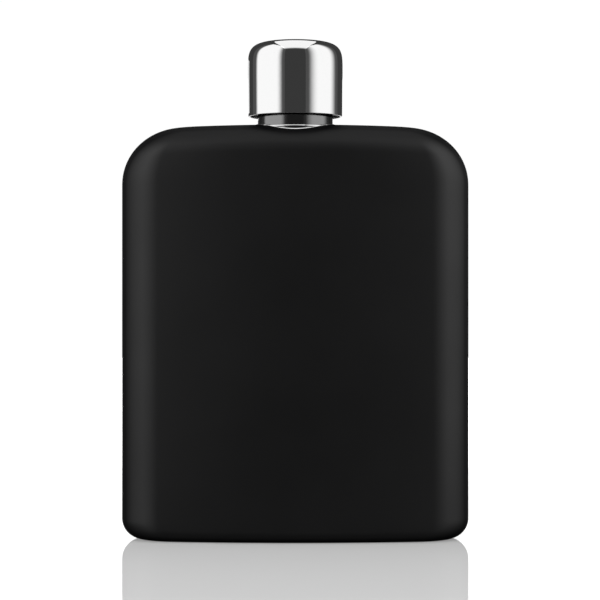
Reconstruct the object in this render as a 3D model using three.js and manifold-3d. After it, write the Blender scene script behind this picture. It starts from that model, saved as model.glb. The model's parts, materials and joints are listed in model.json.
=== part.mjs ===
// A pocket hip flask: a pressed and welded steel body with a black coat, a threaded neck
// with a polished collar, and a domed screw cap with a threaded insert and a sealing disc.
//
// Millimetres. +Z is up, X runs across the flask's width and Y through its thickness.
// The origin is under the middle of the base, on the surface that the flask stands on.

import * as THREE from 'three';
import { mergeVertices } from 'three/addons/utils/BufferGeometryUtils.js';
import Module from 'manifold-3d';

const wasm = await Module();
wasm.setup();

// ---- driving dimensions ----

const BODY = {
  halfWidth: 47.5,
  halfDepth: 15.5,
  height: 113.3,
  faceRadius: 225, // the gentle bulge of the front and the back
  shoulderRadius: 16.5, // the top corners, seen from the front
  shoulderEdge: 11.5, // how far in the roll from the faces over to the top reaches
  shoulderDrop: 8, // how far down the same roll reaches
  heelRadius: 5.5, // the bottom corners, seen from the front
  heelEdge: 3, // the roll from the faces under to the base
  crown: 0.45, // how far the top falls from its middle to its corners
  wall: 0.7,
};

const BASE = {
  height: 6, // where the base pan is butt welded to the shells
  floor: 0.9,
  recessDepth: 0.6,
  recessInset: 4, // width of the flat rim that the flask stands on
};

const GAP = 0.3; // clearance between neighbouring pieces
const ROUND_SIDES = 40; // facets round the neck and the cap

// Heights in the neck group are measured from the top of the body.
const NECK = {
  boreRadius: 6.75,
  tubeRadius: 8.2,
  mouthHeight: 16.7,
  lipChamfer: 0.45,
  footRadius: 9.8,
  footBottom: -5.7,
  footThickness: 1.3,
};

const CUP = {
  outerRadius: 11,
  wall: 0.4,
  floorTop: -3.3,
  floor: 0.8,
  trimHeight: 1.2,
};

const COLLAR = {
  radius: 10.3,
  sleeveRadius: 9.4,
  bottom: -0.7,
  top: 3.6,
  chamfer: 0.3,
};

const THREAD = {
  pitch: 3,
  turns: 2.25,
  height: 0.9, // crest above root
  rootWidth: 1.5,
  crestWidth: 0.9,
  start: 6.2, // height of the first crest above the top of the body
  runOut: 0.12, // share of a turn over which each end fades
  embed: 0.4, // how deep the ridge is rooted in its wall
  stepsPerTurn: 24,
};

// Heights in the cap group are measured from the cap's rim.
const CAP = {
  rimAboveBody: 2.4,
  radius: 13,
  rimRadius: 12.92,
  height: 20.3,
  domeHeight: 9, // the part of the side that curves in
  domeExponent: 4.3, // squareness of the dome's section
  domeSteps: 9,
  wall: 0.6,
  lip: 0.25,
};

const INSERT = {
  bottom: 1.5,
  roofUnderside: 16.4,
  mouthChamfer: 0.5,
};

const SEAL = {
  radius: 9,
  thickness: 1.5,
  chamfer: 0.2,
};

// ---- solids ----

/** Signed volume of an indexed triangle mesh: positive when its faces point out. */
function signedVolume(positions, indices) {
  const corners = [new THREE.Vector3(), new THREE.Vector3(), new THREE.Vector3()];
  let sum = 0;
  for (let i = 0; i < indices.length; i += 3) {
    corners.forEach((corner, k) => corner.fromArray(positions, 3 * indices[i + k]));
    sum += corners[0].dot(corners[1].cross(corners[2]));
  }
  return sum / 6;
}

/** A closed three.js geometry as a solid, its shared points merged and its faces turned out. */
function toSolid(geometry) {
  const bare = geometry.clone();
  for (const name of Object.keys(bare.attributes)) {
    if (name !== 'position') bare.deleteAttribute(name);
  }
  const merged = mergeVertices(bare, 1e-4);
  const positions = merged.attributes.position.array;
  let indices = [];
  for (let i = 0; i < merged.index.count; i += 3) {
    const [a, b, c] = [0, 1, 2].map((k) => merged.index.getX(i + k));
    if (a !== b && b !== c && c !== a) indices.push(a, b, c);
  }
  if (signedVolume(positions, indices) < 0) indices = indices.reverse();
  return new wasm.Manifold(new wasm.Mesh({
    numProp: 3,
    vertProperties: new Float32Array(positions),
    triVerts: new Uint32Array(indices),
  }));
}

/** A solid as a three.js geometry. */
function toGeometry(solid) {
  const mesh = solid.getMesh();
  const geometry = new THREE.BufferGeometry();
  geometry.setAttribute('position', new THREE.BufferAttribute(mesh.vertProperties, 3));
  geometry.setIndex(new THREE.BufferAttribute(mesh.triVerts, 1));
  geometry.computeVertexNormals();
  return geometry;
}

/** A box from its lowest to its highest corner. */
function boxSolid(low, high) {
  const box = new THREE.Box3(new THREE.Vector3(...low), new THREE.Vector3(...high));
  const size = box.getSize(new THREE.Vector3());
  const geometry = new THREE.BoxGeometry(size.x, size.y, size.z);
  geometry.translate(...box.getCenter(new THREE.Vector3()).toArray());
  return toSolid(geometry);
}

/** A profile of [radius, height] points turned about Z. It closes on itself or on the axis. */
function turned(profile) {
  const closed = profile[0][0] > 0 ? [...profile, profile[0]] : profile;
  const points = closed.map(([radius, height]) => new THREE.Vector2(radius, height));
  const geometry = new THREE.LatheGeometry(points, ROUND_SIDES);
  geometry.rotateX(Math.PI / 2);
  return toSolid(geometry);
}

/**
 * A solid through a stack of rings of points, lowest first. Each ring runs anticlockwise
 * seen from above and is its own mirror image in Y, so its end is closed by strips along Y.
 */
function lofted(rings) {
  const count = rings[0].length;
  const indices = [];
  const quad = (a, b, c, d) => indices.push(a, b, c, a, c, d);
  for (let level = 0; level < rings.length - 1; level += 1) {
    const low = level * count;
    for (let i = 0; i < count; i += 1) {
      const next = (i + 1) % count;
      quad(low + i, low + next, low + count + next, low + count + i);
    }
  }
  const top = (rings.length - 1) * count;
  for (let i = 0; i < count / 2; i += 1) {
    const mirror = (count - i) % count;
    const mirrorNext = count - i - 1;
    quad(top + i, top + i + 1, top + mirrorNext, top + mirror);
    quad(i, mirror, mirrorNext, i + 1);
  }
  const geometry = new THREE.BufferGeometry();
  const numbers = rings.flat().flatMap((point) => point.toArray());
  geometry.setAttribute('position', new THREE.Float32BufferAttribute(numbers, 3));
  geometry.setIndex(indices);
  return toSolid(geometry);
}

// ---- body ----

/** How far a rolled edge still stands in at a depth below its top: a quarter of an ellipse. */
function rolledInset(reach, drop, depth) {
  const left = Math.max(drop - depth, 0) / drop;
  return reach * (1 - Math.sqrt(1 - left ** 2));
}

/**
 * The body's plan section as points in X and Y, anticlockwise: full-round narrow sides,
 * each an arc that runs tangent into the long flat arcs of the front and the back.
 */
function planOutline(sideSteps = 5, faceSteps = 5) {
  const { halfWidth, halfDepth, faceRadius } = BODY;
  const faceRise = (faceRadius - halfDepth) ** 2;
  const sideRadius = (faceRadius ** 2 - halfWidth ** 2 - faceRise) / (2 * (faceRadius - halfWidth));
  const sideCentre = halfWidth - sideRadius;
  const tilt = Math.asin(sideCentre / (faceRadius - sideRadius));
  const side = new THREE.EllipseCurve(
    sideCentre, 0, sideRadius, sideRadius, 0, Math.PI / 2 - tilt);
  const face = new THREE.EllipseCurve(
    0, halfDepth - faceRadius, faceRadius, faceRadius, Math.PI / 2 - tilt, Math.PI / 2);
  const quarter = [...side.getPoints(sideSteps), ...face.getPoints(faceSteps).slice(1)];
  const half = [...quarter, ...quarter.slice(0, -1).reverse().map((p) => new THREE.Vector2(-p.x, p.y))];
  return [...half, ...half.slice(1, -1).reverse().map((p) => new THREE.Vector2(p.x, -p.y))];
}

const OUTLINE = planOutline();

/** The plan section scaled to a half width and half depth, at a height that may vary with X. */
function planRing(halfWidth, halfDepth, heightAt) {
  return OUTLINE.map((point) => {
    const x = point.x * halfWidth / BODY.halfWidth;
    const y = point.y * halfDepth / BODY.halfDepth;
    return new THREE.Vector3(x, y, heightAt(x));
  });
}

/** The whole body as a solid block, shrunk by an inset on all sides and lifted off its floor. */
function bodyBlock(inset, floor) {
  const halfWidth = BODY.halfWidth - inset;
  const halfDepth = BODY.halfDepth - inset;
  const top = BODY.height - inset;
  const heel = BODY.heelRadius - inset;
  const heelEdge = BODY.heelEdge - inset;
  const shoulder = BODY.shoulderRadius - inset;
  const shoulderEdge = BODY.shoulderEdge - inset;
  const shoulderDrop = BODY.shoulderDrop - inset;
  const heelSteps = 4;
  const shoulderSteps = 9;
  const rings = [];
  for (let step = 0; step <= heelSteps; step += 1) {
    const angle = step / heelSteps * Math.PI / 2;
    const rise = heel * (1 - Math.cos(angle));
    rings.push(planRing(
      halfWidth - heel * (1 - Math.sin(angle)),
      halfDepth - rolledInset(heelEdge, heelEdge, rise),
      () => floor + rise,
    ));
  }
  for (let step = 0; step <= shoulderSteps; step += 1) {
    const angle = step / shoulderSteps * Math.PI / 2;
    const depth = shoulder * (1 - Math.sin(angle));
    const flat = halfWidth - shoulder;
    rings.push(planRing(
      flat + shoulder * Math.cos(angle),
      halfDepth - rolledInset(shoulderEdge, shoulderDrop, depth),
      (x) => top - depth - BODY.crown * (x / flat) ** 2 * (1 - depth / shoulder),
    ));
  }
  return lofted(rings);
}

/** The front and the back pressing, which meet in the plane of the flask's thickness. */
function bodyShells() {
  const reach = BODY.height;
  const hole = turned([
    [0, BODY.height - BODY.shoulderDrop],
    [CUP.outerRadius + GAP, BODY.height - BODY.shoulderDrop],
    [CUP.outerRadius + GAP, BODY.height + GAP],
    [0, BODY.height + GAP],
  ]);
  const skin = bodyBlock(0, 0).subtract(bodyBlock(BODY.wall, BASE.floor)).subtract(hole);
  const bottom = BASE.height + GAP;
  const front = boxSolid([-reach, -reach, bottom], [reach, -GAP / 2, 2 * reach]);
  const back = boxSolid([-reach, GAP / 2, bottom], [reach, reach, 2 * reach]);
  return { front: skin.intersect(front), back: skin.intersect(back) };
}

/** A flat prism of the plan section, for the recess under the base. */
function basePrism(inset, low, high) {
  const halfWidth = BODY.halfWidth - BODY.heelRadius - inset;
  const halfDepth = BODY.halfDepth - BODY.heelEdge - inset;
  return lofted([low, high].map((height) => planRing(halfWidth, halfDepth, () => height)));
}

/** The base pan: a dished floor with a turned-up rim, and a shallow recess underneath. */
function basePan() {
  const reach = BODY.height;
  const slab = boxSolid([-reach, -reach, -1], [reach, reach, BASE.height]);
  const raised = basePrism(BASE.recessInset - BASE.floor, BASE.floor / 2, BASE.recessDepth + BASE.floor);
  const recess = basePrism(BASE.recessInset, -1, BASE.recessDepth);
  return bodyBlock(0, 0)
    .subtract(bodyBlock(BODY.wall, BASE.floor))
    .intersect(slab)
    .add(raised)
    .subtract(recess);
}

// ---- neck ----

/**
 * A thread ridge as one closed helical bar. The section is a trapezium whose broad side is
 * buried in the wall at rootRadius and whose narrow side is the crest.
 */
function threadRidge(rootRadius, direction, start) {
  const { pitch, turns, height, rootWidth, crestWidth, runOut, embed, stepsPerTurn } = THREAD;
  const steps = Math.round(turns * stepsPerTurn);
  const numbers = [];
  const indices = [];
  for (let step = 0; step <= steps; step += 1) {
    const turn = step / stepsPerTurn;
    const angle = turn * 2 * Math.PI;
    const fade = Math.min(1, turn / runOut, (turns - turn) / runOut);
    const middle = start + turn * pitch;
    const buried = rootRadius - direction * embed;
    const crest = rootRadius + direction * height * (0.1 + 0.9 * fade);
    const section = [
      [buried, -rootWidth / 2],
      [crest, -crestWidth / 2],
      [crest, crestWidth / 2],
      [buried, rootWidth / 2],
    ];
    for (const [radius, offset] of section) {
      numbers.push(radius * Math.cos(angle), radius * Math.sin(angle), middle + offset);
    }
  }
  const quad = (a, b, c, d) => indices.push(a, b, c, a, c, d);
  for (let step = 0; step < steps; step += 1) {
    for (let side = 0; side < 4; side += 1) {
      const here = 4 * step + side;
      const beside = 4 * step + (side + 1) % 4;
      quad(here, beside, beside + 4, here + 4);
    }
  }
  const last = 4 * steps;
  quad(3, 2, 1, 0);
  quad(last, last + 1, last + 2, last + 3);
  const geometry = new THREE.BufferGeometry();
  geometry.setAttribute('position', new THREE.Float32BufferAttribute(numbers, 3));
  geometry.setIndex(indices);
  return toSolid(geometry);
}

/** The pressed cup let into the top of the body, its rim trimmed to the body's curved top. */
function neckCup() {
  const inner = CUP.outerRadius - CUP.wall;
  const floorBottom = CUP.floorTop - CUP.floor;
  const cup = turned([
    [NECK.tubeRadius + GAP, floorBottom],
    [CUP.outerRadius, floorBottom],
    [CUP.outerRadius, CUP.trimHeight],
    [inner, CUP.trimHeight],
    [inner, CUP.floorTop],
    [NECK.tubeRadius + GAP, CUP.floorTop],
  ]);
  return cup.intersect(bodyBlock(0, 0).translate([0, 0, -BODY.height]));
}

/** The threaded tube that is poured from, with the foot that holds it under the cup. */
function neckSpout() {
  const { boreRadius, tubeRadius, mouthHeight, lipChamfer, footRadius, footBottom } = NECK;
  const footTop = footBottom + NECK.footThickness;
  const tube = turned([
    [boreRadius, footBottom],
    [footRadius, footBottom],
    [footRadius, footTop],
    [tubeRadius, footTop],
    [tubeRadius, mouthHeight - lipChamfer],
    [tubeRadius - lipChamfer, mouthHeight],
    [boreRadius + lipChamfer, mouthHeight],
    [boreRadius, mouthHeight - lipChamfer],
  ]);
  return tube.add(threadRidge(tubeRadius, 1, THREAD.start));
}

/** The polished collar: a stepped ring that stands on the cup's floor round the spout. */
function neckCollar() {
  const { radius, sleeveRadius, bottom, top, chamfer } = COLLAR;
  const inner = NECK.tubeRadius + GAP;
  return turned([
    [inner, CUP.floorTop + GAP],
    [sleeveRadius, CUP.floorTop + GAP],
    [sleeveRadius, bottom],
    [radius - chamfer, bottom],
    [radius, bottom + chamfer],
    [radius, top - chamfer],
    [radius - chamfer, top],
    [inner, top],
  ]);
}

// ---- cap ----

/**
 * The side and dome of the cap from the rim to the axis, shrunk by an inset. The dome is a
 * superellipse: (radius / R)^n + (height / H)^n = 1, with n set by the dome's squareness.
 */
function capProfile(inset, bottom) {
  const radius = CAP.radius - inset;
  const dome = CAP.domeHeight - inset;
  const spring = CAP.height - CAP.domeHeight;
  const points = [[CAP.rimRadius - inset, bottom]];
  for (let step = 0; step <= CAP.domeSteps; step += 1) {
    const angle = step / CAP.domeSteps * Math.PI / 2;
    const across = Math.cos(angle) ** (2 / CAP.domeExponent);
    const up = Math.sin(angle) ** (2 / CAP.domeExponent);
    const onAxis = step === CAP.domeSteps;
    points.push([onAxis ? 0 : radius * across, spring + dome * up]);
  }
  return points;
}

/** The drawn steel shell of the cap. */
function capShell() {
  const outside = capProfile(0, CAP.lip);
  const inside = capProfile(CAP.wall, 0);
  const rim = [CAP.rimRadius - CAP.lip, 0];
  return turned([...inside.reverse(), rim, ...outside]);
}

/** The moulded insert that carries the cap's thread. */
function capInsert() {
  const boreRadius = NECK.tubeRadius + THREAD.height + GAP;
  const outside = capProfile(CAP.wall + GAP, INSERT.bottom);
  const body = turned([
    [0, INSERT.roofUnderside],
    [boreRadius, INSERT.roofUnderside],
    [boreRadius, INSERT.bottom + INSERT.mouthChamfer],
    [boreRadius + INSERT.mouthChamfer, INSERT.bottom],
    ...outside,
  ]);
  const start = THREAD.start - THREAD.pitch / 2 - CAP.rimAboveBody;
  return body.add(threadRidge(boreRadius, -1, start));
}

/** The soft disc that the cap presses on the mouth of the spout. */
function capSeal() {
  const { radius, thickness, chamfer } = SEAL;
  return turned([
    [0, 0],
    [radius - chamfer, 0],
    [radius, chamfer],
    [radius, thickness - chamfer],
    [radius - chamfer, thickness],
    [0, thickness],
  ]);
}

// ---- finishes ----

const blackCoat = () => new THREE.MeshStandardMaterial({
  color: 0x1b1b1c, roughness: 0.55, metalness: 0,
});
const polishedSteel = () => new THREE.MeshStandardMaterial({
  color: 0xd5d6d8, roughness: 0.08, metalness: 1,
});
const machinedSteel = () => new THREE.MeshStandardMaterial({
  color: 0xb9babc, roughness: 0.3, metalness: 1,
});
const mouldedPlastic = () => new THREE.MeshStandardMaterial({
  color: 0x222325, roughness: 0.45, metalness: 0,
});
const silicone = () => new THREE.MeshStandardMaterial({
  color: 0xe4e4e0, roughness: 0.6, metalness: 0,
});

/** One named piece. */
function piece(name, solid, material) {
  const mesh = new THREE.Mesh(toGeometry(solid), material);
  mesh.name = name;
  return mesh;
}

// ---- assembly ----

function body() {
  const group = new THREE.Group();
  const shells = bodyShells();
  group.add(piece('front_shell', shells.front, blackCoat()));
  group.add(piece('back_shell', shells.back, blackCoat()));
  group.add(piece('base_pan', basePan(), blackCoat()));
  return group;
}

function neck() {
  const group = new THREE.Group();
  group.position.z = BODY.height;
  group.add(piece('neck_cup', neckCup(), polishedSteel()));
  group.add(piece('neck_spout', neckSpout(), machinedSteel()));
  group.add(piece('neck_collar', neckCollar(), polishedSteel()));
  return group;
}

function cap() {
  const group = new THREE.Group();
  group.position.z = BODY.height + CAP.rimAboveBody;
  group.add(piece('cap_shell', capShell(), polishedSteel()));
  group.add(piece('cap_insert', capInsert(), mouldedPlastic()));
  const seal = piece('cap_seal', capSeal(), silicone());
  seal.position.z = NECK.mouthHeight + GAP - CAP.rimAboveBody;
  group.add(seal);
  return group;
}

const flask = new THREE.Group();
flask.add(body(), neck(), cap());

export default flask;
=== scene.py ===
"""A black pocket hip flask with a polished screw cap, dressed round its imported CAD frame.

Everything is in metres in the frame's own axes: +Z up, X across the width, -Y towards the
viewer. Each piece is a surface worked out as whole numpy arrays and stands for one CAD node.
"""

import json
import logging
import math
from collections.abc import Sequence
from dataclasses import dataclass, field, replace
from enum import Enum

import bmesh
import bpy
import numpy as np
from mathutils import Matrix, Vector

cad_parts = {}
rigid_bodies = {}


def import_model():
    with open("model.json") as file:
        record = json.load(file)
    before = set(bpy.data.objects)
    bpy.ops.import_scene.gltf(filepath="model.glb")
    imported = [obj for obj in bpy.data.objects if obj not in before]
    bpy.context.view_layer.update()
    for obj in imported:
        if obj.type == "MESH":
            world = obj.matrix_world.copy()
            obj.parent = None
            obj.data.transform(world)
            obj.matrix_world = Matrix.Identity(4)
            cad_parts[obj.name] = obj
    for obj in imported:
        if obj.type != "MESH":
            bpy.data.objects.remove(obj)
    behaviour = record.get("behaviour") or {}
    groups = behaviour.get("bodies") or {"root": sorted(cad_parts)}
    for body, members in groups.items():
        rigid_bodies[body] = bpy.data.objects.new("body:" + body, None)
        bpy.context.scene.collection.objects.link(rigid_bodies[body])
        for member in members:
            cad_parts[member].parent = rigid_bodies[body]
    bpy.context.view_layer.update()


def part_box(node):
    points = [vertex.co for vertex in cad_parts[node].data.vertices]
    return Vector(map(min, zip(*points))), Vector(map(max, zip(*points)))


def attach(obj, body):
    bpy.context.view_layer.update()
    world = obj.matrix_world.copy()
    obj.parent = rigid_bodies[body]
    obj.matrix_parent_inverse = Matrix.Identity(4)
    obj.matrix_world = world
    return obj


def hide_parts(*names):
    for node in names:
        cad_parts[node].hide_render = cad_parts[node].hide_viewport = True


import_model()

MM = 0.001
SETTLE = 0.25 * MM  # how much lower than in the frame the ground and coated top and the cap's rim sit
MOUTH = 16.7  # height of the spout's mouth above the body's top, in millimetres
THREAD_START = 6.2  # height of the spout's first crest above the body's top, in millimetres
THREAD_PITCH = 3.0  # rise of the thread in a turn, in millimetres
CUP_GROWTH = 0.25 * MM  # the ground cup fills the gap that the frame keeps round it
COAT_GAP = 0.005 * MM  # between the cup and the edge of the coated shells
FILLET_STEPS = 6  # steps along each rounded corner of a profile
HALVINGS = 44  # of a path, which finds a place on it to far below a micrometre
WELD = 1e-7  # points closer than this are one point, in metres
SLIVER = 1e-8  # edges shorter than this are removed, in metres
LOG = logging.getLogger("hip_flask")


# ---- names ----


class Body(Enum):
    """The CAD bodies that pieces ride on."""

    FLASK = "flask"
    SEAL = "seal"
    CAP = "cap"


class Lights(Enum):
    """What a studio light falls on, as flags set between the lamps arrange it."""

    ALL = "all"
    COAT = "coat"
    ALL_BUT_COAT = "all_but_coat"


class Slot(Enum):
    """The record's material slots."""

    BLACK_COAT = "black_coat"
    POLISHED_STEEL = "polished_steel"
    MACHINED_STEEL = "machined_steel"
    MOULDED_PLASTIC = "moulded_plastic"
    SILICONE = "silicone"


# ---- meshes ----


def grid_faces(rows: int, columns: int, wrap_rows: bool, wrap_columns: bool) -> np.ndarray:
    """Quads of a grid of points numbered row by row.

    Args:
        rows: Number of rows of points.
        columns: Number of points in a row.
        wrap_rows: Whether the last row joins the first.
        wrap_columns: Whether each row closes on itself.

    Returns:
        One row of four point numbers for each quad.
    """
    row = np.arange(rows if wrap_rows else rows - 1)[:, None]
    column = np.arange(columns if wrap_columns else columns - 1)[None, :]
    next_row = (row + 1) % rows
    next_column = (column + 1) % columns
    corners = (
        row * columns + column,
        next_row * columns + column,
        next_row * columns + next_column,
        row * columns + next_column,
    )
    return np.stack([np.broadcast_to(c, (row.size, column.size)) for c in corners], -1).reshape(-1, 4)


def make_piece(
    name: str, points: np.ndarray, faces: np.ndarray, sharp_degrees: float = 38.0
) -> bpy.types.Object:
    """A closed, smooth-shaded mesh object with its doubles merged and its faces turned out.

    Args:
        name: Name of the piece.
        points: Points as an array whose last axis is X, Y, Z in metres.
        faces: Quads as rows of four point numbers.
        sharp_degrees: Edges that turn by more than this stay crisp.

    Returns:
        The new object, at the origin.
    """
    mesh = bpy.data.meshes.new(name)
    mesh.from_pydata(points.reshape(-1, 3), [], faces.tolist())
    work = bmesh.new()
    work.from_mesh(mesh)
    bmesh.ops.remove_doubles(work, verts=work.verts, dist=WELD)
    bmesh.ops.dissolve_degenerate(work, edges=work.edges, dist=SLIVER)
    bmesh.ops.recalc_face_normals(work, faces=work.faces)
    work.to_mesh(mesh)
    work.free()
    mesh.polygons.foreach_set("use_smooth", np.ones(len(mesh.polygons), bool))
    mesh.set_sharp_from_angle(angle=math.radians(sharp_degrees))
    piece = bpy.data.objects.new(name, mesh)
    bpy.context.scene.collection.objects.link(piece)
    return piece


def filleted(corners: Sequence[tuple[float, float, float]], steps: int = FILLET_STEPS) -> np.ndarray:
    """A closed profile whose corners are rounded.

    Each corner becomes an arc tangent to both of its sides: its ends lie radius / tan(half
    the inner angle) from the corner, and the points between follow the circle through them.

    Args:
        corners: (radius, height, fillet radius) of each corner, in millimetres.
        steps: Steps along each arc.

    Returns:
        (radius, height) points in metres, in order round the profile.
    """
    table = np.array(corners, float) * MM
    spot, fillet = table[:, :2], table[:, 2:]
    back = np.roll(spot, 1, axis=0) - spot
    ahead = np.roll(spot, -1, axis=0) - spot
    back_length = np.linalg.norm(back, axis=1, keepdims=True)
    ahead_length = np.linalg.norm(ahead, axis=1, keepdims=True)
    back /= back_length
    ahead /= ahead_length
    half = np.arccos(np.clip((back * ahead).sum(1, keepdims=True), -1, 1)) / 2
    reach = np.minimum(fillet / np.tan(half), 0.49 * np.minimum(back_length, ahead_length))
    radius = reach * np.tan(half)
    middle = back + ahead
    middle /= np.maximum(np.linalg.norm(middle, axis=1, keepdims=True), 1e-12)
    centre = spot + middle * np.hypot(reach, radius)
    start = spot + back * reach - centre
    end = spot + ahead * reach - centre
    share = np.linspace(0, 1, steps + 1)[None, :, None]
    sweep = (math.pi - 2 * half)[:, None]
    weight_start = np.sin((1 - share) * sweep) / np.sin(sweep)
    weight_end = np.sin(share * sweep) / np.sin(sweep)
    arcs = centre[:, None] + weight_start * start[:, None] + weight_end * end[:, None]
    return arcs.reshape(-1, 2)


def round_axis(steps: int) -> np.ndarray:
    """Even angles round the neck's axis, one to a row."""
    return np.linspace(0, 2 * math.pi, steps, endpoint=False)[:, None]


def turned_piece(
    name: str,
    profile: np.ndarray,
    around: int = 192,
    closed: bool = True,
    stand_off: np.ndarray | float = 0.0,
) -> bpy.types.Object:
    """A profile turned about the neck's axis.

    A point (r, z) of the profile becomes ((r + s) cos a, (r + s) sin a, z) for every angle
    a, where s is the stand-off there.

    Args:
        name: Name of the piece.
        profile: (radius, height) points in metres.
        around: Steps round the axis.
        closed: Whether the profile's last point joins its first. An open one ends on the axis.
        stand_off: How far the surface stands out from the profile, one row for each angle.

    Returns:
        The new object.
    """
    angle = round_axis(around)
    radius = profile[None, :, 0] + stand_off
    height = profile[None, :, 1] + 0 * angle
    points = np.stack([radius * np.cos(angle), radius * np.sin(angle), height], -1)
    return make_piece(name, points, grid_faces(around, len(profile), True, closed))


# ---- materials ----


def linear(colour: str) -> tuple[float, float, float, float]:
    """An sRGB hex colour such as #1C1C1D as linear red, green, blue and alpha.

    Args:
        colour: The hex colour.

    Returns:
        Its linear channels and an alpha of 1.
    """
    channels = [int(colour[i : i + 2], 16) / 255 for i in (1, 3, 5)]
    made = [c / 12.92 if c <= 0.04045 else ((c + 0.055) / 1.055) ** 2.4 for c in channels]
    return (*made, 1.0)


def add_node(
    tree: bpy.types.NodeTree, kind: str, inputs: dict | None = None, **settings: object
) -> bpy.types.Node:
    """A new node with its settings, and its inputs set or linked.

    Args:
        tree: The node tree that it goes in.
        kind: Blender's name of the node type.
        inputs: Input name or number to a value, or to the output socket that feeds it.
        **settings: Properties of the node.

    Returns:
        The node.
    """
    node = tree.nodes.new(kind)
    for name, value in settings.items():
        setattr(node, name, value)
    for key, value in (inputs or {}).items():
        if isinstance(value, bpy.types.NodeSocket):
            tree.links.new(value, node.inputs[key])
        else:
            node.inputs[key].default_value = value
    return node


def new_material(name: str) -> tuple[bpy.types.Material, bpy.types.NodeTree]:
    """An empty node material and its tree."""
    material = bpy.data.materials.new(name)
    material.use_nodes = True
    material.node_tree.nodes.clear()
    return material, material.node_tree


def per_mm(size_mm: float) -> float:
    """The texture scale whose pattern repeats about once in a size in millimetres."""
    return 1 / (size_mm * MM)


@dataclass(frozen=True)
class PowderCoat:
    """Matte black polyester powder, sprayed on bare steel and baked.

    It gives the eye an even, almost light-free black, with a broad soft sheen where the
    surface turns, and a very fine sandy texture close up. The sandy texture hides the gloss
    at glancing angles, so the specular level falls as the surface turns away.

    Attributes:
        name: Name of the finish.
        colour: The coat's own black.
        dusty_colour: The same black where the grains stand proud.
        roughness: How far the finish blurs a reflection.
        gloss: Specular level where the surface faces the eye.
        glancing_gloss: Specular level where it has turned away.
        turning: Facing value, 0 towards the eye and 1 edge on, where the gloss starts to fall.
        turned: Facing value where it has fallen.
        unevenness: How far the roughness drifts to either side.
        grain_mm: Size of the sandy texture.
        grain_depth_mm: Depth of the sandy texture.
        drift_mm: Size of the slow changes that the spray gun leaves.
    """

    name: str = "matte_black_powder_coat"
    colour: str = "#080809"
    dusty_colour: str = "#0E0E0F"
    roughness: float = 0.50
    gloss: float = 0.43
    glancing_gloss: float = 0.05
    turning: float = 0.17
    turned: float = 0.62
    unevenness: float = 0.03
    grain_mm: float = 0.42
    grain_depth_mm: float = 0.006
    drift_mm: float = 26.0

    def material(self) -> bpy.types.Material:
        """The node material."""
        material, tree = new_material(self.name)
        place = add_node(tree, "ShaderNodeTexCoord").outputs["Object"]
        grain = add_node(
            tree,
            "ShaderNodeTexNoise",
            {"Vector": place, "Scale": per_mm(self.grain_mm), "Detail": 3.0, "Roughness": 0.6},
        ).outputs["Fac"]
        drift = add_node(
            tree,
            "ShaderNodeTexNoise",
            {"Vector": place, "Scale": per_mm(self.drift_mm), "Detail": 2.0, "Roughness": 0.5},
        ).outputs["Fac"]
        dust = add_node(tree, "ShaderNodeMath", {0: grain, 1: drift}, operation="MULTIPLY").outputs[0]
        tone = add_node(
            tree,
            "ShaderNodeMix",
            {0: dust, 6: linear(self.colour), 7: linear(self.dusty_colour)},
            data_type="RGBA",
        ).outputs[2]
        rough = add_node(
            tree,
            "ShaderNodeMapRange",
            {
                "Value": drift,
                "From Min": 0.3,
                "From Max": 0.7,
                "To Min": self.roughness - self.unevenness,
                "To Max": self.roughness + self.unevenness,
            },
        ).outputs[0]
        bump = add_node(
            tree,
            "ShaderNodeBump",
            {"Height": grain, "Strength": 1.0, "Distance": self.grain_depth_mm * MM},
        ).outputs[0]
        turned_away = add_node(tree, "ShaderNodeLayerWeight", {"Blend": 0.5}).outputs["Facing"]
        level = add_node(
            tree,
            "ShaderNodeMapRange",
            {
                "Value": turned_away,
                "From Min": self.turning,
                "From Max": self.turned,
                "To Min": self.gloss,
                "To Max": self.glancing_gloss,
            },
        ).outputs[0]
        shader = add_node(
            tree,
            "ShaderNodeBsdfPrincipled",
            {"Base Color": tone, "Roughness": rough, "Specular IOR Level": level, "Normal": bump},
        ).outputs[0]
        add_node(tree, "ShaderNodeOutputMaterial", {"Surface": shader})
        return material


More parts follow.
